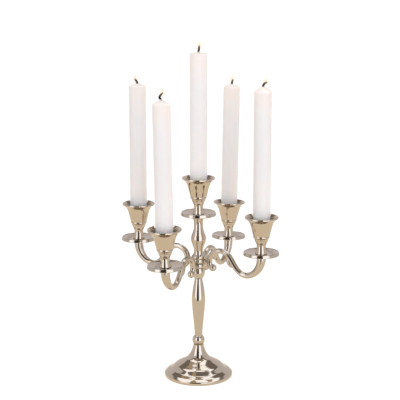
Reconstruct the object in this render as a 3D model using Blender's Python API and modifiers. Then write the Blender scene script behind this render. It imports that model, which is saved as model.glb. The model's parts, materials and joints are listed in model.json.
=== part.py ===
"""Five-light tabletop candelabra with its candles, as an assembly of separate pieces.

A round stepped foot carries a turned stem. Two crossbars, one on the other, are threaded on the stem's tie rod,
and each ends in two lights. The fifth light stands on the stem. A light is a drip pan, a tulip-shaped candle cup,
the stud that holds both down, and a candle with its wick.

The frame is +Z up, with the origin at the centre of the foot's underside. The upper crossbar lies along X and the
lower one along Y. Lengths are in millimetres in the tables below and are scaled by MM when a shape is made.
"""

import math

import bmesh
import bpy
from mathutils import Matrix, Vector

MM = 0.001
GAP = 0.3
BORE_R = 3.4

# Faces around a turned piece.
FOOT_SIDES = 36
PAN_SIDES = 24
TURNED_SIDES = 20

# Foot, a hollow trumpet with a convex dome and a stepped rim.
FOOT_R = 45.3
FOOT_TOP_Z = 43.3
FOOT_BOSS_Z = 19.6
FELT_R = 40.0
FELT_T = 1.2

# Tie rod, which clamps the stem from the foot to the upper baluster.
ROD_R = 3.0
ROD_BOTTOM_Z = 10.3
ROD_TOP_Z = 179.2
NUT_ACROSS_FLATS = 10.0
NUT_H = 5.0
WASHER_R = 6.5
WASHER_H = 1.2

# Stem.
KNOP_R = 8.25
KNOP_CENTER_Z = 48.8
KNOP_TOP_Z = 55.3
STEM_TOP_Z = 133.8
HUB_CUP_TOP_Z = 148.3
RING_R = 8.4
RING_H = 6.2
LOWER_RING_Z = HUB_CUP_TOP_Z + GAP + RING_H / 2
UPPER_RING_Z = LOWER_RING_Z + RING_H + GAP
COLLAR_Z = UPPER_RING_Z + RING_H / 2 + GAP
BALUSTER_TOP_Z = 219.0

# Arms. ARM_END_R is the distance from the stem to a light, and SPLAY is how far a light leans outwards.
ARM_END_R = 90.3
ARM_RISE = 18.0
LOWER_SPLAY = math.radians(2.2)
UPPER_SPLAY = 0.0

# Light, measured up from the rim band's lower edge on the drip pan.
PAN_R = 23.2
PAN_TOP_R = 22.3
PAN_H = 4.4
PAN_FLOOR = 2.0
PAN_HOLE_R = 3.0
CUP_RIM_H = 49.7
CUP_RIM_R = 21.5
CUP_SEAT_H = 26.8
STUD_R = 2.4
STUD_BELOW = 7.7
STUD_ABOVE = 17.5
STUD_CLEARANCE = 0.5

# Candle, of the standard household width.
CANDLE_R = 11.0
CANDLE_FOOT_R = 9.1
CANDLE_FOOT_H = 7.5
WICK_R = 0.8
WICK_DEPTH = 7.0

# Each light: its crossbar, the direction of its arm in degrees, the candle's length to its shoulder and the height
# of its melted tip above the shoulder. The wick's bend and its end are each a sideways lean and a height above the
# wax, and a positive lean is towards WICK_LEAN_HEADING.
LIGHTS = {
    "center": {"bar": None, "heading": 0.0, "shoulder": 184.0, "tip": 0.7, "wick": ((0.6, 4.0), (1.0, 8.4))},
    "right": {"bar": "upper", "heading": 0.0, "shoulder": 180.9, "tip": 7.8, "wick": ((1.4, 3.4), (4.9, 5.6))},
    "left": {"bar": "upper", "heading": 180.0, "shoulder": 178.6, "tip": 4.7, "wick": ((-1.0, 3.2), (-3.5, 6.0))},
    "front": {"bar": "lower", "heading": -90.0, "shoulder": 176.1, "tip": 7.8, "wick": ((-2.0, 3.8), (1.9, 10.2))},
    "back": {"bar": "lower", "heading": 90.0, "shoulder": 178.6, "tip": 5.4, "wick": ((0.3, 3.2), (1.2, 6.4))},
}
WICK_LEAN_HEADING = math.radians(27.3)


def pan_height(bar):
    """Height of a drip pan's datum, its rim band's lower edge."""
    if bar == "lower":
        return LOWER_RING_Z + ARM_RISE + GAP
    if bar == "upper":
        return UPPER_RING_Z + ARM_RISE + GAP
    return BALUSTER_TOP_Z + GAP


# Shapes


def smooth(points, steps=3):
    """The points joined by a Catmull-Rom curve, with this many steps from each point to the next."""
    padded = [points[0]] + list(points) + [points[-1]]
    curve = []
    for i in range(1, len(padded) - 2):
        before, start, end, after = (Vector(p) for p in padded[i - 1 : i + 3])
        for step in range(steps):
            t = step / steps
            bend = (2 * before - 5 * start + 4 * end - after) * t * t
            bend += (3 * start - before - 3 * end + after) * t * t * t
            curve.append(tuple(0.5 * (2 * start + (end - before) * t + bend)))
    curve.append(tuple(points[-1]))
    return curve


def arc(center_r, center_z, radius, start_deg, end_deg, steps):
    """Points of a round stretch of an outline, with angles counted from the outward direction upwards."""
    points = []
    for step in range(steps + 1):
        angle = math.radians(start_deg + (end_deg - start_deg) * step / steps)
        points.append((center_r + radius * math.cos(angle), center_z + radius * math.sin(angle)))
    return points


def turned(name, outline, sides, material):
    """A piece turned about Z. The outline runs down its outer side, and closes on itself unless it meets the axis."""
    mesh = bpy.data.meshes.new(name)
    corners = [(r * MM, 0.0, z * MM) for r, z in outline]
    edges = [(i, i + 1) for i in range(len(corners) - 1)]
    if outline[0][0] > 0:
        edges.append((len(corners) - 1, 0))
    mesh.from_pydata(corners, edges, [])
    piece = add_object(name, mesh, material)
    screw = piece.modifiers.new("turn", "SCREW")
    screw.steps = sides
    screw.render_steps = sides
    screw.use_merge_vertices = True
    screw.merge_threshold = 0.00001
    screw.use_smooth_shade = True
    return piece


def tube(name, points, radii, sides_level):
    """A closed tube along the points, whose radius follows the given radii, as a mesh of its own."""
    curve = bpy.data.curves.new(name, "CURVE")
    curve.dimensions = "3D"
    curve.bevel_depth = MM
    curve.bevel_resolution = sides_level
    curve.use_fill_caps = True
    spline = curve.splines.new("POLY")
    spline.points.add(len(points) - 1)
    for spot, place, radius in zip(spline.points, points, radii):
        spot.co = (*(Vector(place) * MM), 1.0)
        spot.radius = radius
    guide = bpy.data.objects.new(name + "_guide", curve)
    bpy.context.scene.collection.objects.link(guide)
    bpy.context.view_layer.update()
    evaluated = guide.evaluated_get(bpy.context.evaluated_depsgraph_get())
    mesh = bpy.data.meshes.new_from_object(evaluated)
    bpy.data.objects.remove(guide)
    weld = bmesh.new()
    weld.from_mesh(mesh)
    bmesh.ops.remove_doubles(weld, verts=weld.verts, dist=0.000001)
    bmesh.ops.recalc_face_normals(weld, faces=weld.faces)
    weld.to_mesh(mesh)
    weld.free()
    return mesh


def prism(name, radius, height, sides, material, low_z, hole_r=0.0):
    """An upright prism, or a ring when it has a hole, standing on low_z."""
    outline = [(0.0, low_z + height), (radius, low_z + height), (radius, low_z), (0.0, low_z)]
    if hole_r:
        outline = [(hole_r, low_z + height), (radius, low_z + height), (radius, low_z), (hole_r, low_z)]
    return turned(name, outline, sides, material)


def combine(piece, tool, operation):
    """Adds or cuts the tool, which becomes a hidden guide."""
    step = piece.modifiers.new(operation.lower(), "BOOLEAN")
    step.operation = operation
    step.solver = "EXACT"
    step.object = tool


# Objects and materials


def add_object(name, mesh, material=None):
    """A new object in the part's collection, or a hidden cutter when it has no material."""
    made = bpy.data.objects.new(name, mesh)
    if material is None:
        made.hide_render = True
        made.display_type = "WIRE"
        bpy.data.collections["cutters"].objects.link(made)
    else:
        mesh.materials.append(material)
        bpy.data.collections["tabletop_candelabra"].objects.link(made)
    return made


def finish(name, color, roughness, metallic):
    """A Principled material."""
    material = bpy.data.materials.new(name)
    material.use_nodes = True
    shader = material.node_tree.nodes["Principled BSDF"]
    shader.inputs["Base Color"].default_value = (*color, 1.0)
    shader.inputs["Roughness"].default_value = roughness
    shader.inputs["Metallic"].default_value = metallic
    return material


def nickel(name, tone=0.0):
    """Polished warm nickel plate."""
    return finish(name + "_nickel", (0.74 + tone, 0.68 + tone, 0.6 + tone), 0.12, 1.0)


def clear_scene():
    """Removes the objects that are there at the start and makes the two collections."""
    for old in list(bpy.data.objects):
        bpy.data.objects.remove(old)
    for name in ("tabletop_candelabra", "cutters"):
        bpy.context.scene.collection.children.link(bpy.data.collections.new(name))


# Foot and its fastening


def make_foot():
    """Trumpet neck, convex dome, a step at two thirds of the radius and a rounded rim, over a hollow underside."""
    neck = smooth([(6.7, FOOT_TOP_Z), (7.6, 39.1), (10.2, 31.9), (13.6, 26.5)], 2)
    dome = [(20.6, 20.9), (27.8, 16.9), (32.3, 13.8)]
    step = [(35.6, 9.9), (40.2, 7.8)]
    rim = arc(FOOT_R - 3.0, 3.0, 3.0, 60, -20, 3)
    hollow = [(43.2, 0.6), (37.0, 5.8), (29.8, 12.0), (20.6, 17.1), (10.3, FOOT_BOSS_Z)]
    outline = neck + dome + step + rim + [(44.4, 0.0), (43.6, 0.0)] + hollow
    outline += [(BORE_R, FOOT_BOSS_Z), (BORE_R, FOOT_TOP_Z)]
    turned("foot", outline, FOOT_SIDES, nickel("foot"))


def make_felt_pad():
    """Felt disc inside the foot's rim."""
    felt = finish("felt", (0.03, 0.035, 0.03), 0.95, 0.0)
    prism("felt_pad", FELT_R, FELT_T, FOOT_SIDES, felt, 0.0)


def make_fastening():
    """Tie rod, with its washer and nut under the foot's boss."""
    steel = finish("zinc_steel", (0.62, 0.63, 0.65), 0.35, 1.0)
    prism("tie_rod", ROD_R, ROD_TOP_Z - ROD_BOTTOM_Z, 12, steel, ROD_BOTTOM_Z)
    washer_low_z = FOOT_BOSS_Z - GAP - WASHER_H
    hole_r = ROD_R + GAP
    prism("foot_washer", WASHER_R, WASHER_H, TURNED_SIDES, steel.copy(), washer_low_z, hole_r)
    corner_r = NUT_ACROSS_FLATS / 2 / math.cos(math.pi / 6)
    nut = prism("foot_nut", corner_r, NUT_H, 6, steel.copy(), washer_low_z - GAP - NUT_H)
    bore = prism("foot_nut_bore", hole_r, 2 * NUT_H, 12, None, washer_low_z - 1.5 * NUT_H)
    combine(nut, bore, "DIFFERENCE")


# Stem


def make_knop():
    """Ball between the foot and the stem, flat above and below."""
    low_z = FOOT_TOP_Z + GAP
    low_deg = math.degrees(math.asin((low_z - KNOP_CENTER_Z) / KNOP_R))
    high_deg = math.degrees(math.asin((KNOP_TOP_Z - KNOP_CENTER_Z) / KNOP_R))
    outline = arc(0.0, KNOP_CENTER_Z, KNOP_R, high_deg, low_deg, 8)
    outline += [(BORE_R, low_z), (BORE_R, KNOP_TOP_Z)]
    turned("knop", outline, TURNED_SIDES, nickel("knop", 0.02))


def make_lower_stem():
    """Slender baluster, widest at two thirds of its height."""
    low_z = KNOP_TOP_Z + GAP
    outline = [(5.2, STEM_TOP_Z), (5.5, 131.3), (6.9, 123.8), (8.4, 113.8), (9.0, 104.0)]
    outline += [(8.5, 94.8), (7.4, 83.9), (6.4, 73.1), (5.4, 61.8), (5.2, low_z)]
    outline += [(BORE_R, low_z), (BORE_R, STEM_TOP_Z)]
    turned("lower_stem", outline, TURNED_SIDES, nickel("lower_stem", -0.02))


def make_hub_cup():
    """Egg-shaped cup that carries the crossbars."""
    low_z = STEM_TOP_Z + GAP
    outline = smooth([(7.8, HUB_CUP_TOP_Z), (8.6, 142.7), (7.8, 137.4), (5.5, low_z)], 2)
    outline += [(BORE_R, low_z), (BORE_R, HUB_CUP_TOP_Z)]
    turned("hub_cup", outline, TURNED_SIDES, nickel("hub_cup", 0.01))


def make_upper_baluster():
    """Baluster with a flared collar, closed above the tie rod and tapped on top for the center stud."""
    outline = [(7.6, BALUSTER_TOP_Z), (6.3, 211.2), (6.0, 206.5), (6.4, 201.4), (7.7, 196.5), (9.9, 190.6)]
    outline += [(9.9, 185.0), (8.4, 180.7), (6.7, 175.7), (6.1, 171.0), (7.4, 166.4), (9.2, 163.4), (9.1, COLLAR_Z)]
    outline = [(0.0, BALUSTER_TOP_Z)] + outline + [(0.0, COLLAR_Z)]
    baluster = turned("upper_baluster", outline, TURNED_SIDES, nickel("upper_baluster"))
    socket_h = ROD_TOP_Z + 1.0 - COLLAR_Z
    socket = prism("rod_socket", BORE_R, socket_h + 2.0, 12, None, COLLAR_Z - 2.0)
    combine(baluster, socket, "DIFFERENCE")
    combine(baluster, stud_hole("center_stud_hole", light_frame("center")), "DIFFERENCE")


# Crossbars


def arm_path(splay):
    """An arm's centre line and radii in its own plane, from the scroll under the hub to the light.

    Each row is the distance from the stem, the height above the ring's middle, and the arm's radius there.
    """
    scroll = [(21.4, -7.5, 3.7), (18.1, -6.1, 3.4), (16.3, -1.9, 3.5), (16.4, 3.3, 3.8), (18.6, 9.3, 3.7)]
    arch = [(24.5, 14.4, 3.5), (31.9, 16.4, 3.4), (39.8, 14.3, 3.6), (45.8, 8.7, 3.9), (51.1, 0.9, 3.8)]
    trough = [(56.5, -6.0, 3.6), (62.6, -10.6, 3.5), (69.8, -11.9, 3.7), (77.5, -9.4, 4.1), (84.3, -3.8, 4.8)]
    drop = ARM_RISE - 10.8
    rise = [(88.6, 3.5, 5.4), (ARM_END_R - drop * math.sin(splay), 10.8, 5.8), (ARM_END_R, ARM_RISE, 5.9)]
    return smooth(scroll + arch + trough + rise, 2)


def make_arm(name, heading, middle_z, splay):
    """One arm of a crossbar as a mesh object, in place."""
    path = arm_path(splay)
    spin = Matrix.Rotation(heading, 4, "Z")
    points = [spin @ Vector((r, 0.0, middle_z + z)) for r, z, _ in path]
    return add_object(name, tube(name, points, [radius for _, _, radius in path], 2))


def ball(name, r, z, heading, radius, stretch):
    """A rounded knob of the casting, in an arm's plane."""
    made = bmesh.new()
    bmesh.ops.create_uvsphere(made, u_segments=10, v_segments=7, radius=radius * MM)
    spin = Matrix.Rotation(heading, 4, "Z")
    place = spin @ Matrix.Translation(Vector((r, 0.0, z)) * MM) @ Matrix.Diagonal((*stretch, 1.0))
    bmesh.ops.transform(made, matrix=place, verts=made.verts)
    mesh = bpy.data.meshes.new(name)
    made.to_mesh(mesh)
    made.free()
    return add_object(name, mesh)


def make_crossbar(name, heading, middle_z, splay, lights):
    """A ring with two arms cast on it. Each arm has a scroll under the hub and a leaf tip under its arch."""
    low_z = middle_z - RING_H / 2
    edge = 0.8
    ring = [(RING_R - edge, low_z + RING_H), (RING_R, low_z + RING_H - edge), (RING_R, low_z + edge)]
    ring += [(RING_R - edge, low_z), (BORE_R, low_z), (BORE_R, low_z + RING_H)]
    bar = turned(name, ring, TURNED_SIDES, nickel(name))
    for side, light in enumerate(lights):
        turn = heading + side * math.pi
        combine(bar, ball(f"{name}_root_{side}", 10.5, middle_z + 0.05, turn, 4.6, (1.0, 0.72, 0.62)), "UNION")
        combine(bar, make_arm(f"{name}_arm_{side}", turn, middle_z, splay), "UNION")
        combine(bar, ball(f"{name}_scroll_{side}", 21.2, middle_z - 7.4, turn, 4.3, (1.0, 0.95, 0.93)), "UNION")
        combine(bar, ball(f"{name}_leaf_{side}", 48.0, middle_z + 1.4, turn, 4.3, (0.6, 0.5, 1.1)), "UNION")
        combine(bar, stud_hole(f"{name}_stud_hole_{side}", light_frame(light)), "DIFFERENCE")


# Lights


def light_frame(light):
    """Places a light: its local origin is on the drip pan's datum, with +Z along the candle."""
    bar = LIGHTS[light]["bar"]
    if bar is None:
        return Matrix.Translation(Vector((0.0, 0.0, pan_height(None))) * MM)
    heading = Matrix.Rotation(math.radians(LIGHTS[light]["heading"]), 4, "Z")
    place = Matrix.Translation(Vector((ARM_END_R, 0.0, pan_height(bar))) * MM)
    splay = LOWER_SPLAY if bar == "lower" else UPPER_SPLAY
    return heading @ place @ Matrix.Rotation(splay, 4, "Y")


def stud_hole(name, frame):
    """Cutter for the tapped hole under a light."""
    cutter = prism(name, STUD_R + STUD_CLEARANCE, STUD_BELOW + 3.5, 12, None, -STUD_BELOW - 1.5)
    cutter.matrix_world = frame
    return cutter


def make_pan(light):
    """Shallow drip pan with a tapered rim band and a hole for the stud."""
    lip = 1.3
    inner_r = PAN_TOP_R - lip
    outline = [(inner_r + 0.3, PAN_H - 0.3), (PAN_TOP_R - 0.6, PAN_H), (PAN_TOP_R, PAN_H - 0.5)]
    outline += [(PAN_R, 1.0), (PAN_R - 0.5, 0.3), (PAN_R - 1.4, 0.0), (PAN_HOLE_R, 0.0)]
    outline += [(PAN_HOLE_R, PAN_FLOOR), (inner_r - 3.0, PAN_FLOOR), (inner_r - 0.4, PAN_FLOOR + 1.0)]
    return turned(f"drip_pan_{light}", outline, PAN_SIDES, nickel(f"drip_pan_{light}", 0.01))


def make_cup(light):
    """Tulip cup with a flared lip, a beaded shoulder and a necked foot. Its seat is a taper for the candle."""
    low = PAN_FLOOR + GAP
    bore_r = STUD_R + STUD_CLEARANCE
    seat = [(0.0, CUP_SEAT_H), (CANDLE_FOOT_R + GAP, CUP_SEAT_H)]
    bowl = [(11.5, CUP_RIM_H - 16.1), (13.7, 41.8), (15.2, 44.5), (17.6, 47.2), (CUP_RIM_R - 0.7, CUP_RIM_H + 0.6)]
    lip = [(CUP_RIM_R, CUP_RIM_H), (19.1, 47.4), (16.6, 44.8), (15.1, 42.0)]
    body = [(13.8, 38.1), (12.6, 32.9), (11.2, 27.5)]
    bead = [(10.3, 23.9), (10.3, 22.1), (9.1, 19.5), (7.1, 16.7)]
    foot = [(6.5, 14.0), (6.4, 9.3), (6.8, 5.4), (7.8, low)]
    bore = [(bore_r, low), (bore_r, STUD_ABOVE + 1.0), (0.0, STUD_ABOVE + 1.0)]
    outline = seat + bowl + lip + body + bead + foot + bore
    return turned(f"candle_cup_{light}", outline, TURNED_SIDES, nickel(f"candle_cup_{light}", 0.03))


def make_stud(light):
    """Stud from the arm's end through the drip pan into the cup."""
    steel = finish(f"cup_stud_{light}_steel", (0.6, 0.6, 0.62), 0.35, 1.0)
    return prism(f"cup_stud_{light}", STUD_R, STUD_BELOW + STUD_ABOVE, 10, steel, -STUD_BELOW)


def make_candle(light):
    """White candle with a tapered foot, a softened shoulder, a melted tip and a hole for its wick."""
    low = CUP_SEAT_H + GAP
    shoulder = low + LIGHTS[light]["shoulder"]
    tip = LIGHTS[light]["tip"]
    top = shoulder + tip
    hole_r = WICK_R + GAP
    outline = [(0.0, top - WICK_DEPTH - GAP), (hole_r, top - WICK_DEPTH - GAP), (hole_r, top)]
    if tip > 2.0:
        outline += [(3.0, top - 0.15 * tip), (7.0, top - 0.5 * tip), (9.8, shoulder + 0.12 * tip)]
    else:
        outline += [(4.0, top - 0.5 * tip), (8.6, top - 0.2 * tip), (CANDLE_R - 0.5, top - 0.15)]
    outline += [(CANDLE_R, shoulder - 1.6), (CANDLE_R, low + CANDLE_FOOT_H)]
    outline += [(CANDLE_FOOT_R - 0.5, low), (0.0, low)]
    wax = finish(f"candle_{light}_wax", (0.86, 0.84, 0.83), 0.45, 0.0)
    return turned(f"candle_{light}", outline, TURNED_SIDES, wax)


def make_wick(light):
    """Burnt wick, which curls to one side above the wax."""
    top = CUP_SEAT_H + GAP + LIGHTS[light]["shoulder"] + LIGHTS[light]["tip"]
    heading = WICK_LEAN_HEADING - math.radians(LIGHTS[light]["heading"])
    route = [(0.0, -WICK_DEPTH), (0.0, 0.2)] + smooth([(0.0, 0.8), *LIGHTS[light]["wick"]], 2)
    points = [(lean * math.cos(heading), lean * math.sin(heading), top + height) for lean, height in route]
    mesh = tube(f"wick_{light}", points, [WICK_R] * len(points), 1)
    return add_object(f"wick_{light}", mesh, finish(f"wick_{light}_char", (0.05, 0.035, 0.03), 0.9, 0.0))


def make_light(light):
    """The pieces of one light, parented to an empty on its axis."""
    holder = bpy.data.objects.new(f"light_{light}", None)
    bpy.data.collections["tabletop_candelabra"].objects.link(holder)
    holder.matrix_world = light_frame(light)
    for make in (make_pan, make_cup, make_stud, make_candle, make_wick):
        make(light).parent = holder


def main():
    clear_scene()
    make_foot()
    make_felt_pad()
    make_fastening()
    make_knop()
    make_lower_stem()
    make_hub_cup()
    make_crossbar("lower_crossbar", -math.pi / 2, LOWER_RING_Z, LOWER_SPLAY, ("front", "back"))
    make_crossbar("upper_crossbar", 0.0, UPPER_RING_Z, UPPER_SPLAY, ("right", "left"))
    make_upper_baluster()
    for light in LIGHTS:
        make_light(light)
    bpy.context.view_layer.update()


main()
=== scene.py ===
"""The looks of the five-light tabletop candelabra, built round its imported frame.

Every CAD node that shows is replaced by a finely made piece of the same size in the same place. Turned pieces
are lathed from smooth outlines, the crossbars are swept along their arms and joined to their rings, and the
wicks are braided. Outlines are written in millimetres, and the metal ones are fitted to their nodes' sizes in
the frame. The fasteners and the felt pad keep their CAD meshes, under materials of their own.
"""

import json
import math

import bmesh
import bpy
import numpy as np
from mathutils import Matrix, Vector


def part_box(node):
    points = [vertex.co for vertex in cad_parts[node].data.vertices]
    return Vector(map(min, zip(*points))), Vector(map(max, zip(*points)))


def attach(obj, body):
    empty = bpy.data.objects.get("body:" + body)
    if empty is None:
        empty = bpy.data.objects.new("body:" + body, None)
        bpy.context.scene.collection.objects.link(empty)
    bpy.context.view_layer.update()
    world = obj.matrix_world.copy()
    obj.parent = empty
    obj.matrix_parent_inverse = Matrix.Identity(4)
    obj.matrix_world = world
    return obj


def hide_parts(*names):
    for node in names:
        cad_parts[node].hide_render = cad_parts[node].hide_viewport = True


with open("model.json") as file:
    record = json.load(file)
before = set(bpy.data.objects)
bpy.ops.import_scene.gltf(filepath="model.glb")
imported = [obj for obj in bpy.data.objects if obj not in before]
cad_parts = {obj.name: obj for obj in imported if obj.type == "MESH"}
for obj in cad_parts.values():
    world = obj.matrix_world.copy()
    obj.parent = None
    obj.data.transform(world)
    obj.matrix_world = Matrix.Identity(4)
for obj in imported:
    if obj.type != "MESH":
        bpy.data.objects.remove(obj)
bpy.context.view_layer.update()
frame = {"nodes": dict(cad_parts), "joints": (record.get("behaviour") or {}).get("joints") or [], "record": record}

MM = 0.001
LIGHTS = ("center", "right", "left", "front", "back")

# Camera. The azimuth turns from -Y towards +X, and the distance is along the ground from the stem.
CAMERA_AZIMUTH = math.radians(27.3)
CAMERA_DISTANCE = 1.4937
CAMERA_HEIGHT = 0.5578
CAMERA_PITCH = math.radians(12.03)
CAMERA_YAW = math.radians(-0.075)
CAMERA_LENS = 105.5
CAMERA_SENSOR = 36.0

# Smoothness of the pieces.
LATHE_SIDES = 128
SPLINE_STEPS = 7
ARM_STEPS = 8
ARM_SIDES = 64
SHARP_ANGLE = math.radians(32.0)


# Outlines


def spline(knots, steps=SPLINE_STEPS):
    """Points of a smooth curve through the knots, with this many steps from each knot to the next."""
    spots = [np.array(knot, float) for knot in knots]
    if len(spots) < 3:
        return spots
    gaps = [max(np.linalg.norm(b - a), 1e-9) for a, b in zip(spots, spots[1:])]
    slopes = [(b - a) / gap for a, b, gap in zip(spots, spots[1:], gaps)]
    tangents = [slopes[0]]
    for before, after, gap_before, gap_after in zip(slopes, slopes[1:], gaps, gaps[1:]):
        tangents.append((before * gap_after + after * gap_before) / (gap_before + gap_after))
    tangents.append(slopes[-1])
    curve = []
    for i, gap in enumerate(gaps):
        for step in range(steps):
            t = step / steps
            start = (2 * t**3 - 3 * t**2 + 1) * spots[i] + (t**3 - 2 * t**2 + t) * gap * tangents[i]
            end = (3 * t**2 - 2 * t**3) * spots[i + 1] + (t**3 - t**2) * gap * tangents[i + 1]
            curve.append(start + end)
    curve.append(spots[-1])
    return curve


def trace(runs):
    """An outline from runs of knots: smooth along each run, and free to turn sharply where two runs meet."""
    outline = []
    for run in runs:
        for spot in spline(run):
            if not outline or np.linalg.norm(spot - outline[-1]) > 1e-6:
                outline.append(spot)
    return np.array(outline)


def arc(center_r, center_z, radius, start_deg, end_deg, steps=8):
    """Knots along a round stretch, with angles counted from the outward direction upwards."""
    angles = [math.radians(start_deg + (end_deg - start_deg) * i / steps) for i in range(steps + 1)]
    return [(center_r + radius * math.cos(a), center_z + radius * math.sin(a)) for a in angles]


def node_size(node, place):
    """A node's lowest and highest point along the axis of a place, and its radius about it."""
    inverse = place.inverted()
    spots = np.array([inverse @ v.co for v in frame["nodes"][node].data.vertices])
    return spots[:, 2].min(), spots[:, 2].max(), np.hypot(spots[:, 0], spots[:, 1]).max()


def fit(outline, node, place):
    """The outline at the node's own height and radius, in metres."""
    low, high, radius = node_size(node, place)
    r, z = outline[:, 0], outline[:, 1]
    fitted_r = r * radius / r.max()
    fitted_z = low + (z - z.min()) * (high - low) / (z.max() - z.min())
    return np.column_stack([fitted_r, fitted_z])


# Meshes


def new_piece(name, points, faces, material, place=Matrix.Identity(4)):
    """A smooth mesh object from points and faces, in its place."""
    mesh = bpy.data.meshes.new(name)
    mesh.from_pydata([tuple(p) for p in points], [], faces)
    tidy = bmesh.new()
    tidy.from_mesh(mesh)
    bmesh.ops.remove_doubles(tidy, verts=tidy.verts, dist=1e-7)
    bmesh.ops.recalc_face_normals(tidy, faces=tidy.faces)
    tidy.to_mesh(mesh)
    tidy.free()
    mesh.shade_smooth()
    mesh.set_sharp_from_angle(angle=SHARP_ANGLE)
    piece = bpy.data.objects.new(name, mesh)
    bpy.context.scene.collection.objects.link(piece)
    if material:
        mesh.materials.append(material)
    piece.matrix_world = place
    return piece


def lathe(name, outline, material, place=Matrix.Identity(4), sides=LATHE_SIDES):
    """A closed body turned about its own Z. An outline that leaves the axis open closes on itself."""
    points = []
    rings = []
    for r, z in outline:
        start = len(points)
        if r < 1e-7:
            points.append((0.0, 0.0, z))
            rings.append([start] * sides)
            continue
        for side in range(sides):
            angle = 2 * math.pi * side / sides
            points.append((r * math.cos(angle), r * math.sin(angle), z))
        rings.append(list(range(start, start + sides)))
    pairs = list(zip(rings, rings[1:]))
    if outline[0][0] > 1e-7:
        pairs.append((rings[-1], rings[0]))
    faces = []
    for upper, lower in pairs:
        for side in range(sides):
            after = (side + 1) % sides
            corners = [upper[side], lower[side], lower[after], upper[after]]
            corners = list(dict.fromkeys(corners))
            if len(corners) > 2:
                faces.append(corners)
    return new_piece(name, points, faces, material, place)


def sweep(name, rings, material=None, place=Matrix.Identity(4)):
    """A closed tube through rings of points, capped at both ends."""
    count = len(rings[0])
    points = [p for ring in rings for p in ring]
    faces = []
    for i in range(len(rings) - 1):
        for side in range(count):
            after = (side + 1) % count
            here, ahead = i * count, (i + 1) * count
            faces.append([here + side, here + after, ahead + after, ahead + side])
    faces.append(list(range(count)))
    faces.append(list(range((len(rings) - 1) * count, len(rings) * count)))
    return new_piece(name, points, faces, material, place)


def tube_rings(path, radii, sides, side_axis, section=None):
    """Rings of points round a path. A section gives the share of the radius at an angle round the tube."""
    rings = []
    for i, center in enumerate(path):
        ahead = path[min(i + 1, len(path) - 1)] - path[max(i - 1, 0)]
        along = Vector(ahead).normalized()
        up = Vector(side_axis).cross(along).normalized()
        across = along.cross(up)
        ring = []
        for side in range(sides):
            angle = 2 * math.pi * side / sides
            radius = radii[i] * (section(i / (len(path) - 1), angle) if section else 1.0)
            offset = radius * (math.cos(angle) * up + math.sin(angle) * across)
            ring.append(Vector(center) + offset)
        rings.append(ring)
    return rings


def union(piece, tools):
    """Joins the tools to the piece as one closed body, and removes them."""
    for tool in tools:
        step = piece.modifiers.new("join", "BOOLEAN")
        step.operation = "UNION"
        step.solver = "EXACT"
        step.object = tool
    bpy.context.view_layer.update()
    joined = bpy.data.meshes.new_from_object(piece.evaluated_get(bpy.context.evaluated_depsgraph_get()))
    piece.modifiers.clear()
    piece.data = joined
    for tool in tools:
        bpy.data.objects.remove(tool)
    joined.shade_smooth()
    joined.set_sharp_from_angle(angle=SHARP_ANGLE)
    return piece


# Materials


class Tree:
    """Adds nodes to a node tree and joins them as it goes."""

    def __init__(self, owner):
        owner.use_nodes = True
        self.tree = owner.node_tree

    def add(self, kind, inputs=(), **settings):
        """A node with its settings and inputs. An input is a value, or a socket to link from."""
        node = self.tree.nodes.new(kind)
        for key, value in settings.items():
            setattr(node, key, value)
        for key, value in dict(inputs).items():
            if isinstance(value, bpy.types.NodeSocket):
                self.tree.links.new(value, node.inputs[key])
            else:
                node.inputs[key].default_value = value
        return node

    def math(self, operation, a, b=0.0):
        """The result of a sum on one or two values."""
        return self.add("ShaderNodeMath", {0: a, 1: b}, operation=operation).outputs[0]

    def link(self, value, shader, name):
        """Drives one of a shader's inputs by a value."""
        self.tree.links.new(value, shader.inputs[name])

    def ramp(self, value, low, high, start=0.0, end=1.0):
        """The value's range from low to high, turned smoothly into start to end."""
        inputs = {"Value": value, "From Min": low, "From Max": high, "To Min": start, "To Max": end}
        return self.add("ShaderNodeMapRange", inputs, interpolation_type="SMOOTHSTEP").outputs["Result"]

    def mix(self, factor, a, b):
        """A mix of two colours."""
        node = self.add("ShaderNodeMix", {"Factor": factor}, data_type="RGBA")
        for socket, value in ((node.inputs[6], a), (node.inputs[7], b)):
            if isinstance(value, bpy.types.NodeSocket):
                self.tree.links.new(value, socket)
            else:
                socket.default_value = (*value, 1.0)
        return node.outputs[2]

    def noise(self, place, scale, detail=2.0, roughness=0.5, distortion=0.0):
        """Cloudy noise over a place, from 0 to 1."""
        inputs = {"Vector": place, "Scale": scale, "Detail": detail, "Roughness": roughness}
        inputs["Distortion"] = distortion
        return self.add("ShaderNodeTexNoise", inputs).outputs["Fac"]

    def bump(self, height, distance, strength=1.0, below=None):
        """A normal tilted by a height, on top of the one below it if there is one."""
        inputs = {"Height": height, "Distance": distance, "Strength": strength}
        if below is not None:
            inputs["Normal"] = below
        return self.add("ShaderNodeBump", inputs).outputs["Normal"]


def material(name, roughness, metallic=0.0):
    """A material with a Principled shader, as its tree and that shader."""
    made = bpy.data.materials.new(name)
    tree = Tree(made)
    shader = tree.tree.nodes["Principled BSDF"]
    shader.inputs["Roughness"].default_value = roughness
    shader.inputs["Metallic"].default_value = metallic
    return made, tree, shader


# The painted shade inside a candle cup, in the cup's own metres: the floor's height, and where the painted shade
# gives way to the lip.
CUP_FLOOR = (0.026, 0.027)
CUP_DARK = (0.0145, 0.0195)
FACES_UP = (0.05, 0.2)


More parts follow.
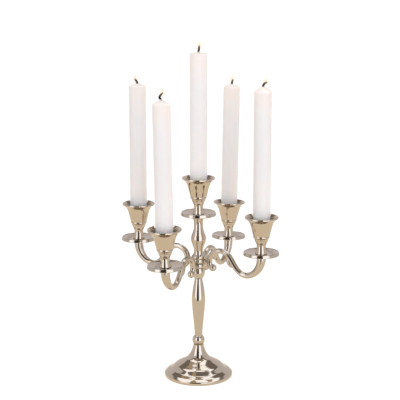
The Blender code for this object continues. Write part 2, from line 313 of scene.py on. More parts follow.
def cup_painted_shade(tree, place):
    """Mask of the painted shade: 1 deep inside a cup and 0 at its lip and outside, in the cup's own coordinates.
    """
    spot = tree.add("ShaderNodeSeparateXYZ", {0: place})
    flat = tree.add("ShaderNodeCombineXYZ", {0: spot.outputs["X"], 1: spot.outputs["Y"]}).outputs[0]
    radius = tree.add("ShaderNodeVectorMath", {0: flat}, operation="LENGTH").outputs["Value"]
    normal = tree.add("ShaderNodeTexCoord").outputs["Normal"]
    upward = tree.add("ShaderNodeSeparateXYZ", {0: normal}).outputs["Z"]
    above_floor = tree.ramp(spot.outputs["Z"], *CUP_FLOOR)
    facing_up = tree.math("MULTIPLY", tree.ramp(upward, *FACES_UP), above_floor)
    return tree.math("MULTIPLY", facing_up, tree.ramp(radius, *CUP_DARK, 1.0, 0.0))


def nickel(name, warm, cool, polish=0.07, wobble=0.00004, turned=True, inside=None):
    """Polished warm nickel plate: two tones in soft patches, uneven polish, and turning marks or a cast skin.

    The inside of a cup gets painted shade: a darker tone deep in the cup, where the plate is in shade.
    """
    made, tree, shader = material(name, polish, 1.0)
    place = tree.add("ShaderNodeTexCoord").outputs["Object"]
    patches = tree.ramp(tree.noise(place, 38.0, 3.0, 0.55, 0.4), 0.36, 0.66)
    tone = tree.mix(patches, warm, cool)
    if inside:
        # Painted shade: the cup's inner wall turns dark away from its lip.
        tone = tree.mix(cup_painted_shade(tree, place), tone, inside)
    tree.link(tone, shader, "Base Color")
    haze = tree.noise(place, 160.0, 4.0, 0.6)
    smears = tree.ramp(haze, 0.3, 0.75, 0.75 * polish, 1.6 * polish)
    tree.link(smears, shader, "Roughness")
    normal = tree.bump(tree.noise(place, 85.0, 1.0), wobble, 0.6)
    if turned:
        height = tree.add("ShaderNodeSeparateXYZ", {0: place}).outputs["Z"]
        along = tree.math("MULTIPLY", height, 2600.0)
        rings = tree.add("ShaderNodeTexNoise", {"W": along}, noise_dimensions="1D")
        normal = tree.bump(rings.outputs["Fac"], 0.0000025, 0.5, normal)
    else:
        normal = tree.bump(tree.noise(place, 620.0, 3.0), 0.000004, 0.5, normal)
    tree.link(normal, shader, "Normal")
    return made


def wax(name):
    """White candle wax, lighter towards its foot as painted light against the cup's shade, warmer towards the
    burnt tip, faintly mottled and slightly translucent.
    """
    made, tree, shader = material(name, 0.4)
    coordinates = tree.add("ShaderNodeTexCoord")
    height = tree.add("ShaderNodeSeparateXYZ", {0: coordinates.outputs["Generated"]}).outputs["Z"]
    # Painted light: the wax is lighter near its foot, to offset the shade that the cup casts there.
    tone = tree.mix(tree.ramp(height, 0.05, 0.6), (0.95, 0.915, 0.885), (0.87, 0.84, 0.82))
    tone = tree.mix(tree.ramp(height, 0.72, 0.97), tone, (0.93, 0.84, 0.77))
    place = coordinates.outputs["Object"]
    mottle = tree.ramp(tree.noise(place, 120.0, 4.0), 0.35, 0.7)
    tone = tree.mix(tree.math("MULTIPLY", mottle, 0.5), tone, (0.90, 0.865, 0.84))
    tree.link(tone, shader, "Base Color")
    shine = tree.noise(place, 300.0, 3.0)
    tree.link(tree.ramp(shine, 0.3, 0.7, 0.34, 0.48), shader, "Roughness")
    shader.inputs["Subsurface Weight"].default_value = 0.35
    shader.inputs["Subsurface Radius"].default_value = (1.0, 0.62, 0.45)
    shader.inputs["Subsurface Scale"].default_value = 0.0035
    shader.inputs["IOR"].default_value = 1.43
    ripples = tree.bump(tree.noise(place, 55.0, 2.0), 0.00006, 0.5)
    tree.link(tree.bump(tree.noise(place, 1400.0, 2.0), 0.000008, 0.5, ripples), shader, "Normal")
    return made


def char(name):
    """Cotton braid, waxed at its foot and charred above."""
    made, tree, shader = material(name, 0.95)
    shader.inputs["Specular IOR Level"].default_value = 0.05
    coordinates = tree.add("ShaderNodeTexCoord")
    height = tree.add("ShaderNodeSeparateXYZ", {0: coordinates.outputs["Generated"]}).outputs["Z"]
    place = coordinates.outputs["Object"]
    ragged = tree.math("ADD", height, tree.math("MULTIPLY", tree.noise(place, 900.0, 2.0), 0.16))
    grain = tree.ramp(tree.noise(place, 2200.0, 3.0), 0.35, 0.7)
    soot = tree.mix(grain, (0.006, 0.003, 0.002), (0.022, 0.009, 0.005))
    tone = tree.mix(tree.ramp(ragged, 0.56, 0.64), (0.62, 0.50, 0.38), soot)
    tree.link(tone, shader, "Base Color")
    tree.link(tree.bump(tree.noise(place, 3800.0, 2.0), 0.00006, 0.8), shader, "Normal")
    return made


def felt(name):
    """Dark pressed felt with a short nap."""
    made, tree, shader = material(name, 0.95)
    place = tree.add("ShaderNodeTexCoord").outputs["Object"]
    fibres = tree.noise(place, 2400.0, 5.0, 0.7, 1.5)
    tree.link(tree.mix(fibres, (0.012, 0.016, 0.013), (0.06, 0.068, 0.06)), shader, "Base Color")
    shader.inputs["Sheen Weight"].default_value = 0.4
    shader.inputs["Sheen Roughness"].default_value = 0.5
    tree.link(tree.bump(fibres, 0.00012, 0.8), shader, "Normal")
    return made


def zinc(name):
    """Zinc-plated steel, with a dull grain."""
    made, tree, shader = material(name, 0.35, 1.0)
    place = tree.add("ShaderNodeTexCoord").outputs["Object"]
    grain = tree.noise(place, 700.0, 4.0, 0.6)
    tree.link(tree.mix(grain, (0.50, 0.51, 0.54), (0.68, 0.68, 0.66)), shader, "Base Color")
    tree.link(tree.ramp(grain, 0.3, 0.7, 0.26, 0.45), shader, "Roughness")
    tree.link(tree.bump(grain, 0.00001, 0.6), shader, "Normal")
    return made


def flame(name, low, high, alpha):
    """A candle flame that bright light washes out, from its foot's colour to its tip's."""
    made, tree, shader = material(name, 1.0)
    place = tree.add("ShaderNodeTexCoord").outputs["Generated"]
    height = tree.add("ShaderNodeSeparateXYZ", {0: place}).outputs["Z"]
    glow = tree.mix(tree.ramp(height, 0.2, 0.8), low, high)
    tree.link(glow, shader, "Emission Color")
    shader.inputs["Emission Strength"].default_value = 1.0
    shader.inputs["Base Color"].default_value = (0.0, 0.0, 0.0, 1.0)
    shader.inputs["Specular IOR Level"].default_value = 0.0
    tree.link(tree.ramp(height, 0.38, 0.64, 0.05, alpha), shader, "Alpha")
    return made


NICKEL_WARM = (0.63, 0.55, 0.455)
NICKEL_COOL = (0.605, 0.54, 0.46)
NICKEL_PANS = (0.61, 0.54, 0.46)
NICKEL_CUPS = (0.64, 0.55, 0.44)
# The colour of the painted shade inside the cups.
NICKEL_SHADE = (0.11, 0.095, 0.06)
stem_finish = nickel("warm_nickel_stem", NICKEL_WARM, NICKEL_COOL)
arm_finish = nickel("warm_nickel_arms", NICKEL_WARM, NICKEL_COOL, 0.15, 0.00010, turned=False)
pan_finish = nickel("warm_nickel_pans", NICKEL_PANS, NICKEL_COOL, 0.08, 0.00002)
cup_finish = nickel("warm_nickel_cups", NICKEL_CUPS, NICKEL_WARM, 0.07, 0.00002, inside=NICKEL_SHADE)
wax_finish = wax("candle_wax")
char_finish = char("burnt_cotton")
felt_finish = felt("pressed_felt")
zinc_finish = zinc("zinc_steel")
flame_finishes = {
    "core": flame("flame_core", (1.0, 0.70, 0.42), (1.0, 0.76, 0.46), 0.36),
    "halo": flame("flame_halo", (1.0, 0.86, 0.60), (1.0, 0.95, 0.68), 0.17),
}


# Places


def light_place(light):
    """A light's own frame: its origin is on the drip pan's underside, and +Z runs up the candle."""
    joint = next(j for j in frame["joints"] if j["name"] == f"candle_{light}_lift")
    up = Vector(joint["axis"]).normalized()
    pan_low, pan_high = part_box(f"drip_pan_{light}")
    level_low, level_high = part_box("drip_pan_center")
    origin = (pan_low + pan_high) / 2 - up * (level_high.z - level_low.z) / 2
    turn = Vector((0.0, 0.0, 1.0)).rotation_difference(up).to_matrix().to_4x4()
    return Matrix.Translation(origin) @ turn


def body_of(node):
    """The CAD body that a node belongs to."""
    return next(body for body, nodes in frame["record"]["behaviour"]["bodies"].items() if node in nodes)


def settle(piece, node):
    """The piece stands for the node and rides on its body."""
    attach(piece, body_of(node))
    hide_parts(node)


# Stem and foot, as outlines in millimetres. Each row is a distance from the axis and a height.

BORE_R = 3.4

FOOT = [
    [(6.7, 43.3), (6.95, 41.4), (7.75, 38.6), (10.2, 31.9), (13.6, 26.6), (16.6, 23.6), (20.4, 21.25),
     (24.2, 19.25), (28.0, 17.2), (30.4, 15.75), (31.8, 14.6), (33.2, 13.15), (35.0, 11.3), (36.4, 10.0),
     (37.8, 9.15), (39.6, 8.2), (41.4, 7.2)],
    [(41.4, 7.2), (42.5, 6.35), (43.6, 5.45), (44.5, 4.7)],
    [(44.5, 4.7), (44.95, 4.25), (45.2, 3.5), (45.3, 2.2), (45.2, 1.1), (44.9, 0.4), (44.4, 0.0)],
    [(44.4, 0.0), (43.6, 0.0)],
    [(43.6, 0.0), (43.2, 0.6), (37.0, 5.8), (29.8, 12.0), (20.6, 17.1), (10.3, 19.6)],
    [(10.3, 19.6), (BORE_R, 19.6)],
    [(BORE_R, 19.6), (BORE_R, 43.3)],
    [(BORE_R, 43.3), (6.7, 43.3)],
]

KNOP = [
    arc(0.0, 48.8, 8.25, 52.0, -39.0, 12),
    [(6.41, 43.6), (BORE_R, 43.6)],
    [(BORE_R, 43.6), (BORE_R, 55.3)],
    [(BORE_R, 55.3), (5.08, 55.3)],
]

LOWER_STEM = [
    [(5.2, 133.8), (5.45, 131.3), (6.9, 123.8), (8.35, 113.8), (8.93, 107.0), (9.0, 104.2), (8.85, 101.0),
     (7.95, 89.0), (6.85, 78.0), (5.9, 68.0), (5.3, 60.5), (5.2, 55.6)],
    [(5.2, 55.6), (BORE_R, 55.6)],
    [(BORE_R, 55.6), (BORE_R, 133.8)],
    [(BORE_R, 133.8), (5.2, 133.8)],
]

HUB_CUP = [
    [(7.2, 148.3), (8.1, 146.3), (8.6, 143.2), (8.4, 140.4), (7.5, 137.6), (6.3, 135.3), (5.5, 134.1)],
    [(5.5, 134.1), (BORE_R, 134.1)],
    [(BORE_R, 134.1), (BORE_R, 148.3)],
    [(BORE_R, 148.3), (7.2, 148.3)],
]

UPPER_BALUSTER = [
    [(0.0, 210.1), (2.9, 210.1)],
    [(2.9, 210.1), (2.9, 219.0)],
    [(2.9, 219.0), (7.6, 219.0)],
    [(7.6, 219.0), (6.9, 214.6), (6.3, 211.0), (6.0, 206.5), (6.4, 201.4), (7.8, 196.3), (9.7, 191.2),
     (10.1, 187.8), (9.75, 184.6), (8.4, 180.7), (6.75, 175.8), (6.1, 171.0), (6.7, 167.6), (8.2, 165.3)],
    [(8.2, 165.3), (9.0, 164.6), (9.3, 163.4), (9.1, 161.6)],
    [(9.1, 161.6), (BORE_R, 161.6)],
    [(BORE_R, 161.6), (BORE_R, 180.2)],
    [(BORE_R, 180.2), (0.0, 180.2)],
]

DRIP_PAN = [
    [(3.0, 0.0), (3.0, 2.0)],
    [(3.0, 2.0), (8.0, 2.0), (12.0, 2.25), (17.0, 2.95), (21.2, 4.0)],
    [(21.2, 4.0), (21.6, 4.32), (21.95, 4.4), (22.25, 4.25), (22.4, 3.9)],
    [(22.4, 3.9), (22.8, 2.6), (23.15, 1.2), (23.2, 0.8), (22.9, 0.3), (21.9, 0.0)],
    [(21.9, 0.0), (3.0, 0.0)],
]

CANDLE_CUP = [
    [(0.0, 26.8), (9.4, 26.8)],
    [(9.4, 26.8), (11.5, 33.6)],
    [(11.5, 33.6), (12.3, 37.4), (13.4, 41.6), (14.8, 44.5), (17.0, 47.2), (20.0, 49.9)],
    [(20.0, 49.9), (20.5, 50.25), (21.0, 50.2), (21.4, 49.7), (21.5, 49.0), (21.4, 48.4), (21.0, 48.0)],
    [(21.0, 48.0), (19.1, 46.9), (16.8, 44.4), (15.1, 41.4), (13.7, 37.4), (12.5, 32.6), (11.3, 27.9),
     (10.75, 25.6)],
    [(10.75, 25.6), (10.2, 25.35), (10.25, 24.9)],
    [(10.25, 24.9), (10.6, 24.2), (10.45, 23.2), (10.0, 22.5)],
    [(10.0, 22.5), (9.6, 22.2), (9.3, 21.5), (8.6, 19.3), (7.7, 17.1), (6.8, 15.5), (6.2, 14.6)],
    [(6.2, 14.6), (6.05, 13.6), (5.9, 12.0), (5.95, 9.3), (6.5, 5.4), (7.8, 2.3)],
    [(7.8, 2.3), (2.9, 2.3)],
    [(2.9, 2.3), (2.9, 18.5)],
    [(2.9, 18.5), (0.0, 18.5)],
]


STEM_OUTLINES = {
    "foot": FOOT,
    "knop": KNOP,
    "lower_stem": LOWER_STEM,
    "hub_cup": HUB_CUP,
    "upper_baluster": UPPER_BALUSTER,
}


def make_stem():
    """The turned pieces on the tie rod."""
    here = Matrix.Identity(4)
    for node, runs in STEM_OUTLINES.items():
        piece = lathe(f"{node}_turned", fit(trace(runs), node, here), stem_finish)
        settle(piece, node)


# Crossbars

# An arm's centre line in its own plane, for a reach of ARM_REACH millimetres: the distance from the stem, the
# height above the ring's middle, and the arm's radius.
ARM_REACH = 90.3
ARM = [
    (21.4, -7.5, 4.1), (18.1, -6.1, 3.8), (16.3, -1.9, 3.7), (16.4, 3.3, 3.8), (18.6, 9.3, 3.7),
    (24.5, 14.4, 3.5), (31.9, 16.4, 3.4), (39.8, 14.3, 3.6), (45.8, 8.7, 3.9), (51.1, 0.9, 3.8),
    (56.5, -6.0, 3.6), (62.6, -10.6, 3.5), (69.8, -11.9, 3.7), (77.5, -9.4, 4.1), (84.3, -3.8, 4.8),
    (88.6, 3.5, 5.4), (90.3, 10.8, 5.8), (90.3, 18.0, 5.9),
]
LEAF = [(41.5, 9.6, 2.6), (44.3, 4.6, 3.5), (46.2, 0.6, 3.3), (47.6, -2.4, 2.0), (48.3, -3.9, 0.6)]
RIBS = 8
RIB_DEPTH = 0.035
RIB_FADE = (0.08, 0.2, 0.62, 0.78)
# The knobs at an arm's lower end and at its root: distance from the stem, height, radius, and the stretch
# outwards, sideways and upwards.
SCROLL = (21.2, -7.4, 4.8, (1.05, 0.92, 1.0))
ROOT = (10.5, 0.0, 4.6, (1.0, 0.72, 0.62))
RING_H = 6.2
RING_R = 8.4
RING_HALF = RING_H / 2
# A crossbar's ring, bulged round its rim, about its own middle.
RING = [
    [(BORE_R, RING_HALF), (RING_R - 1.6, RING_HALF)],
    [(RING_R - 1.6, RING_HALF), (RING_R - 0.7, RING_HALF - 0.35), (RING_R - 0.15, RING_HALF - 1.3),
     (RING_R, 0.0),
     (RING_R - 0.15, 1.3 - RING_HALF), (RING_R - 0.7, 0.35 - RING_HALF), (RING_R - 1.6, -RING_HALF)],
    [(RING_R - 1.6, -RING_HALF), (BORE_R, -RING_HALF)],
]
# The gap that touching pieces keep.
GAP = 0.3 * MM


def step_up(value, low, high):
    """0 below low and 1 above high, smoothly."""
    t = min(max((value - low) / (high - low), 0.0), 1.0)
    return t * t * (3 - 2 * t)


def ribbed(share, angle):
    """Share of an arm's radius at an angle round it: soft ribs along the arch, fading out at both ends."""
    start, full, fading, gone = RIB_FADE
    depth = RIB_DEPTH * step_up(share, start, full) * (1 - step_up(share, fading, gone))
    return 1.0 + depth * math.cos(RIBS * angle)


def arm_tool(name, rows, scale, center, out, top=None, section=None):
    """One swept limb of a casting. The last point goes to the top, where that is given."""
    side_axis = Vector((0.0, 0.0, 1.0)).cross(out)
    knots = [np.array(row, float) * scale * MM for row in rows]
    if top:
        reach, rise, drop = top
        knots[-1][:2] = (reach, rise)
        knots[-2][:2] = (reach - drop, rise + (rows[-2][1] - rows[-1][1]) * scale * MM)
    curve = spline(knots, ARM_STEPS)
    path = [center + out * float(row[0]) + Vector((0.0, 0.0, float(row[1]))) for row in curve]
    radii = [float(row[2]) for row in curve]
    return sweep(name, tube_rings(path, radii, ARM_SIDES, side_axis, section))


def knob(name, center, radius, stretch, turn=Matrix.Identity(4)):
    """A rounded knob of a casting."""
    made = bmesh.new()
    bmesh.ops.create_uvsphere(made, u_segments=40, v_segments=24, radius=radius)
    mesh = bpy.data.meshes.new(name)
    made.to_mesh(mesh)
    made.free()
    mesh.transform(Matrix.Translation(center) @ turn @ Matrix.Diagonal((*stretch, 1.0)))
    mesh.shade_smooth()
    piece = bpy.data.objects.new(name, mesh)
    bpy.context.scene.collection.objects.link(piece)
    return piece


def joint_height(node):
    """Height of the middle of a crossbar's ring, which its swivel joint is on."""
    joint = next(j for j in frame["joints"] if j["child"] == body_of(node))
    return joint["pos_m"][2]


def make_crossbar(node, ends):
    """A ring with two arms cast on it, and a scroll and a leaf on each arm."""
    tools = []
    middle = Vector((0.0, 0.0, joint_height(node)))
    for light in ends:
        place = light_place(light)
        up = place.to_3x3() @ Vector((0.0, 0.0, 1.0))
        foot = place.translation - up * GAP
        out = Vector((foot.x, foot.y, 0.0)).normalized()
        reach = Vector((foot.x, foot.y, 0.0)).length
        scale = reach / (ARM_REACH * MM)
        drop = (ARM[-1][1] - ARM[-2][1]) * scale * MM * up.dot(out)
        turn = Matrix.Rotation(math.atan2(out.y, out.x), 4, "Z")
        top = (reach, foot.z - middle.z, drop)
        tools.append(arm_tool(f"{node}_{light}_arm", ARM, scale, middle, out, top, ribbed))
        tools.append(arm_tool(f"{node}_{light}_leaf", LEAF, scale, middle, out))
        for part, (distance, height, radius, stretch) in (("scroll", SCROLL), ("root", ROOT)):
            spot = middle + (out * distance + Vector((0.0, 0.0, height))) * scale * MM
            tools.append(knob(f"{node}_{light}_{part}", spot, radius * scale * MM, stretch, turn))
    outline = trace(RING) * MM + np.array([0.0, middle.z])
    piece = union(lathe(f"{node}_casting", outline, arm_finish), tools)
    settle(piece, node)


# Lights

# Each candle's wick: its bend and its end, each a lean to the camera's right and a height above the wax.
WICKS = {
    "center": ((0.6, 4.0), (1.0, 8.4)),
    "right": ((1.4, 3.4), (4.9, 5.6)),
    "left": ((-1.0, 3.2), (-3.5, 6.0)),
    "front": ((-1.7, 3.0), (2.2, 9.4)),
    "back": ((0.3, 3.2), (1.2, 6.4)),
}
WICK_R = 1.5
WICK_DEPTH = 7.0
WICK_STEPS = 14
STRANDS = 3
STRAND_SHARE = 0.56
STRAND_OFFSET = 0.42
STRAND_SIDES = 12
TWIST_PITCH = 3.4
# A flame's glow, as two shells round the wick's end, and how far below that end each starts.
CORE = [(0.0, 10.6), (0.5, 9.6), (1.8, 7.2), (2.9, 4.6), (3.0, 2.8), (2.3, 0.9), (0.0, 0.0)]
HALO = [(0.0, 14.6), (0.9, 13.4), (2.7, 10.4), (4.0, 7.2), (4.2, 4.4), (3.2, 1.4), (0.0, 0.0)]
FLAMES = (("core", CORE, 5.8), ("halo", HALO, 7.0))
FLAME_SIDES = 48
# A flame stands this share of the wick's lean back from its end.
FLAME_BACK = 0.25

# Candles. The crown is a row of distances from the axis, with depths below the top as shares of the tip's
# height.
CANDLE_SIDES = 96
HOLE_R = WICK_R + 0.2
HOLE_DEPTH = WICK_DEPTH + 0.3
CROWN = ((HOLE_R, 0.0), (2.6, 0.05), (5.5, 0.25), (8.4, 0.45), (10.2, 0.6), (10.85, 0.76))
# The shoulder under a tip taller than this stands higher than in the CAD, by a share of the tip's height. The
# right candle's doesn't.
TALL_TIP = 3.0
TIP_TRIM = 0.28
UNTRIMMED = "right"


def make_candle(light, place):
    """A candle with a softened shoulder and a melted tip, round the wick's hole."""
    node = f"candle_{light}"
    inverse = place.inverted()
    spots = np.array([inverse @ v.co for v in frame["nodes"][node].data.vertices])
    radii = np.hypot(spots[:, 0], spots[:, 1])
    low, top, radius = spots[:, 2].min(), spots[:, 2].max(), radii.max()
    full = spots[radii > 0.99 * radius][:, 2]
    shoulder, foot_top = full.max(), full.min()
    foot_r = radii[spots[:, 2] < low + 0.1 * MM].max()
    hole_r = HOLE_R * MM
    hole_z = top - HOLE_DEPTH * MM
    if top - shoulder > TALL_TIP * MM and light != UNTRIMMED:
        shoulder += TIP_TRIM * (top - shoulder)
    tip = top - shoulder
    crown = [(distance * MM, top - share * tip) for distance, share in CROWN] + [(radius, shoulder)]
    runs = [
        [(0.0, hole_z), (hole_r, hole_z)],
        [(hole_r, hole_z), crown[0]],
        crown,
        [crown[-1], (radius, foot_top)],
        [(radius, foot_top), (foot_r, low)],
        [(foot_r, low), (0.0, low)],
    ]
    piece = lathe(f"{node}_wax", trace(runs), wax_finish, place, CANDLE_SIDES)
    settle(piece, node)
    return top


def make_wick(light, place, wax_top):
    """Three strands twisted round the wick's route, and the flame round its end."""
    node = f"wick_{light}"
    bend, end = WICKS[light]
    knots = [(0.0, -WICK_DEPTH), (0.0, -2.0), (0.0, 0.6), bend, end]
    route = [Vector((spot[0] * MM, 0.0, wax_top + spot[1] * MM)) for spot in spline(knots, WICK_STEPS)]
    lengths = [0.0]
    for start, finish in zip(route, route[1:]):
        lengths.append(lengths[-1] + (finish - start).length)
    thinning = [1.0 - 0.4 * step_up(length / lengths[-1], 0.85, 1.0) for length in lengths]
    thread_radii = [STRAND_SHARE * WICK_R * MM * share for share in thinning]
    side_axis = Vector((0.0, 1.0, 0.0))
    strands = []
    for strand in range(STRANDS):
        path = []
        for i, center in enumerate(route):
            along = (route[min(i + 1, len(route) - 1)] - route[max(i - 1, 0)]).normalized()
            up = side_axis.cross(along)
            angle = 2 * math.pi * (strand / STRANDS + lengths[i] / (TWIST_PITCH * MM))
            thin = 1.0 - 0.35 * step_up(lengths[i] / lengths[-1], 0.75, 1.0)
            turned = math.cos(angle) * up + math.sin(angle) * side_axis
            path.append(center + STRAND_OFFSET * WICK_R * MM * thin * turned)
        rings = tube_rings(path, thread_radii, STRAND_SIDES, side_axis)
        strands.append(sweep(f"{node}_{strand}", rings, char_finish))
    piece = union(strands[0], strands[1:])
    piece.name = f"{node}_braid"
    lean = place @ Matrix.Rotation(CAMERA_AZIMUTH, 4, "Z")
    piece.matrix_world = lean
    settle(piece, node)
    for shell, outline, drop in FLAMES:
        base = Matrix.Translation(lean @ (route[-1] - Vector((FLAME_BACK * end[0], 0.0, drop)) * MM))
        name = f"flame_{shell}_{light}"
        glow = lathe(name, trace([outline]) * MM, flame_finishes[shell], base, FLAME_SIDES)
        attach(glow, body_of(node))


def make_lights():
    """Each light's pan, cup, candle and wick."""
    for light in LIGHTS:
        place = light_place(light)
        for node, runs, finish, slot in (
            (f"drip_pan_{light}", DRIP_PAN, pan_finish, "nickel_pans"),
            (f"candle_cup_{light}", CANDLE_CUP, cup_finish, "nickel_cups"),
        ):
            settle(lathe(f"{node}_turned", fit(trace(runs), node, place), finish, place), node)
        wax_top = make_candle(light, place)
        make_wick(light, place, wax_top)


def dress_hidden_nodes():
    """The CAD nodes that stay: the felt pad and the fasteners inside."""
    for name, node in frame["nodes"].items():
        if name == "felt_pad":
            finish = felt_finish
        elif name in ("foot_washer", "foot_nut", "tie_rod") or name.startswith("cup_stud"):
            finish = zinc_finish
        else:
            continue
        node.data.materials.clear()
        node.data.materials.append(finish)


# Studio

WHITE = (1.0, 1.0, 1.0)
BLACK = (0.0, 0.0, 0.0)
ROOM = (0.225, 0.195, 0.175)
TENT = (0.69, 0.65, 0.65)
SOFTBOX = (1.60, 1.65, 1.80)
LENS_GAP = (0.06, 0.05, 0.038)
# The tent's walls: the azimuths from the camera that they cover, and how steeply their tops rise at the sides
# and at the back. Azimuths are in degrees and counted towards the camera's right.
TENT_AZIMUTHS = ((-180.1, -64.0), (47.0, 180.1))
TENT_TOP_SIDE = 1.0
TENT_TOP_BACK = 0.85
# Panels in front, painted one over the other: azimuths and elevations in degrees, the width of the soft edge
# and the colour.
PANELS = [
    ((-68.0, -28.0), (-90.0, 50.0), 6.0, tuple(0.42 * c for c in SOFTBOX)),
    ((-66.0, -29.0), (-90.0, 39.0), 5.0, tuple(0.72 * c for c in SOFTBOX)),
    ((-62.0, -37.0), (-90.0, 36.0), 5.0, SOFTBOX),
    ((28.0, 52.0), (-90.0, 36.0), 5.0, tuple(0.8 * c for c in SOFTBOX)),
    ((8.0, 46.0), (-90.0, 34.0), 3.0, SOFTBOX),
    ((8.0, 31.0), (-90.0, 57.0), 3.0, SOFTBOX),
    ((-29.0, 8.0), (-90.0, 57.0), 3.0, LENS_GAP),
]
# The panel overhead: its edges as angles up from the camera's side, half its width, and its colour.
OVERHEAD = ((78.0, 111.0), 0.60, (1.55, 1.58, 1.68))
FLOOR_REACH = 30.0
FLOOR_GREY = (0.25, 0.25, 0.25)
FLOOR_GLOW = 0.85
# The table's front and back edges, towards the camera, and half its width, in metres.
TABLE_EDGES = (0.39, -0.9, 0.65)
TABLE_DROP = 0.0005
TABLE_GLOW = (0.89, 0.79, 0.65)
# Area lights: azimuth, elevation, size and energy.
AREA_LIGHTS = {
    "overhead_light": (0.0, 89.0, 1.6, 6.0),
    "right_light": (40.0, 25.0, 1.4, 6.5),
    "left_light": (-55.0, 25.0, 1.4, 4.0),
}
LIGHT_COLOR = (1.0, 0.975, 0.95)
LIGHT_DISTANCE = 1.9
LIGHT_AIM = Vector((0.0, 0.0, 0.25))


def between(tree, value, low, high, soft):
    """1 between low and high and 0 outside, with soft edges."""
    rise = tree.ramp(value, low - soft / 2, low + soft / 2)
    fall = tree.ramp(value, high - soft / 2, high + soft / 2, 1.0, 0.0)
    return tree.math("MULTIPLY", rise, fall)


def make_world():
    """A pale light tent with front softboxes, a dark gap between them for the camera, and a top panel."""
    world = bpy.data.worlds.new("light_tent")
    bpy.context.scene.world = world
    tree = Tree(world)
    background = tree.tree.nodes["Background"]
    direction = tree.add("ShaderNodeTexCoord").outputs["Generated"]
    turn = {"Vector": direction, "Angle": -CAMERA_AZIMUTH}
    turned = tree.add("ShaderNodeVectorRotate", turn, rotation_type="Z_AXIS").outputs[0]
    split = tree.add("ShaderNodeSeparateXYZ", {0: turned})
    across = split.outputs["X"]
    toward = tree.math("MULTIPLY", split.outputs["Y"], -1.0)
    up = split.outputs["Z"]
    azimuth = tree.math("DEGREES", tree.math("ARCTAN2", across, toward))
    elevation = tree.math("DEGREES", tree.math("ARCSINE", up))
    top = tree.math("MULTIPLY", toward, -TENT_TOP_BACK)
    top = tree.math("MAXIMUM", top, tree.math("MULTIPLY", tree.math("ABSOLUTE", across), TENT_TOP_SIDE))
    below_top = tree.ramp(tree.math("SUBTRACT", up, top), -0.05, 0.05, 1.0, 0.0)
    tone = ROOM
    for azimuths in TENT_AZIMUTHS:
        wall = between(tree, azimuth, *azimuths, 5.0)
        tone = tree.mix(tree.math("MULTIPLY", below_top, wall), tone, TENT)
    for azimuths, elevations, soft, color in PANELS:
        width = between(tree, azimuth, *azimuths, soft)
        height = between(tree, elevation, *elevations, soft)
        tone = tree.mix(tree.math("MULTIPLY", width, height), tone, color)
    swings, half_width, color = OVERHEAD
    swing = tree.math("DEGREES", tree.math("ARCTAN2", up, toward))
    depth = between(tree, swing, *swings, 3.0)
    width = between(tree, across, -half_width, half_width, 0.04)
    tone = tree.mix(tree.math("MULTIPLY", depth, width), tone, color)
    seen = tree.add("ShaderNodeLightPath").outputs["Is Camera Ray"]
    tone = tree.mix(seen, tone, WHITE)
    tree.link(tone, background, "Color")


def glowing(name, roughness, color, glow, strength):
    """A plain stage material that gives light of its own."""
    made, _, shader = material(name, roughness)
    shader.inputs["Base Color"].default_value = (*color, 1.0)
    shader.inputs["Specular IOR Level"].default_value = 0.0
    shader.inputs["Emission Color"].default_value = (*glow, 1.0)
    shader.inputs["Emission Strength"].default_value = strength
    return made


def make_slab(name, front, back, side, z, finish):
    """A level sheet of the stage, square to the camera, with its edges counted towards it and sideways."""
    right = Vector((math.cos(CAMERA_AZIMUTH), math.sin(CAMERA_AZIMUTH), 0.0))
    toward = Vector((math.sin(CAMERA_AZIMUTH), -math.cos(CAMERA_AZIMUTH), 0.0))
    corners = ((-side, back), (side, back), (side, front), (-side, front))
    mesh = bpy.data.meshes.new(name)
    mesh.from_pydata([x * right + y * toward + Vector((0.0, 0.0, z)) for x, y in corners], [], [(0, 1, 2, 3)])
    mesh.materials.append(finish)
    slab = bpy.data.objects.new(name, mesh)
    bpy.context.scene.collection.objects.link(slab)
    return slab


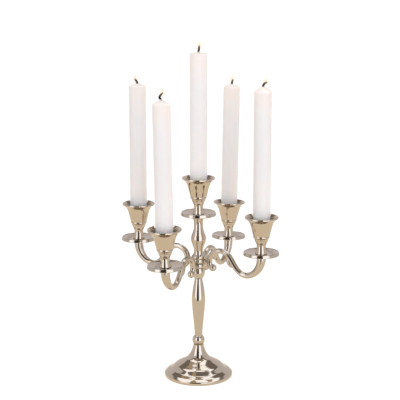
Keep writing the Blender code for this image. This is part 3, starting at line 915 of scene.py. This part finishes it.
def make_floor():
    """A pale floor that the camera sees as white, and a warm table top that only the metal mirrors."""
    pale = glowing("pale_floor", 0.9, FLOOR_GREY, WHITE, FLOOR_GLOW)
    floor = make_slab("floor", FLOOR_REACH, -FLOOR_REACH, FLOOR_REACH, 0.0, pale)
    floor.visible_glossy = False
    floor.visible_diffuse = False
    floor.visible_shadow = False
    warm = glowing("table_top", 1.0, BLACK, TABLE_GLOW, 1.0)
    table = make_slab("table_top", *TABLE_EDGES, -TABLE_DROP, warm)
    table.visible_camera = False


def make_camera():
    """The camera, looking down at the object from the front right."""
    data = bpy.data.cameras.new("camera")
    data.sensor_width = CAMERA_SENSOR
    data.lens = CAMERA_LENS
    data.clip_end = 100.0
    camera = bpy.data.objects.new("camera", data)
    bpy.context.scene.collection.objects.link(camera)
    ground = Vector((math.sin(CAMERA_AZIMUTH), -math.cos(CAMERA_AZIMUTH), 0.0)) * CAMERA_DISTANCE
    camera.location = ground + Vector((0.0, 0.0, CAMERA_HEIGHT))
    camera.rotation_euler = (math.pi / 2 - CAMERA_PITCH, 0.0, CAMERA_AZIMUTH + CAMERA_YAW)
    bpy.context.scene.camera = camera


def make_light(name, azimuth, elevation, size, energy):
    """A wide soft light that the metal doesn't mirror. The azimuth is counted towards the camera's right."""
    data = bpy.data.lights.new(name, "AREA")
    data.size = size
    data.energy = energy
    data.color = LIGHT_COLOR
    light = bpy.data.objects.new(name, data)
    turn = CAMERA_AZIMUTH + math.radians(azimuth)
    tilt = math.radians(elevation)
    toward = Vector((math.sin(turn) * math.cos(tilt), -math.cos(turn) * math.cos(tilt), math.sin(tilt)))
    light.location = LIGHT_AIM + LIGHT_DISTANCE * toward
    light.rotation_euler = toward.to_track_quat("Z", "Y").to_euler()
    light.visible_glossy = False
    bpy.context.scene.collection.objects.link(light)


bpy.context.scene.view_settings.view_transform = "Standard"
make_camera()
make_world()
make_floor()
for light_name, (azimuth, elevation, size, energy) in AREA_LIGHTS.items():
    make_light(light_name, azimuth, elevation, size, energy)
make_stem()
make_crossbar("lower_crossbar", ("front", "back"))
make_crossbar("upper_crossbar", ("right", "left"))
make_lights()
dress_hidden_nodes()
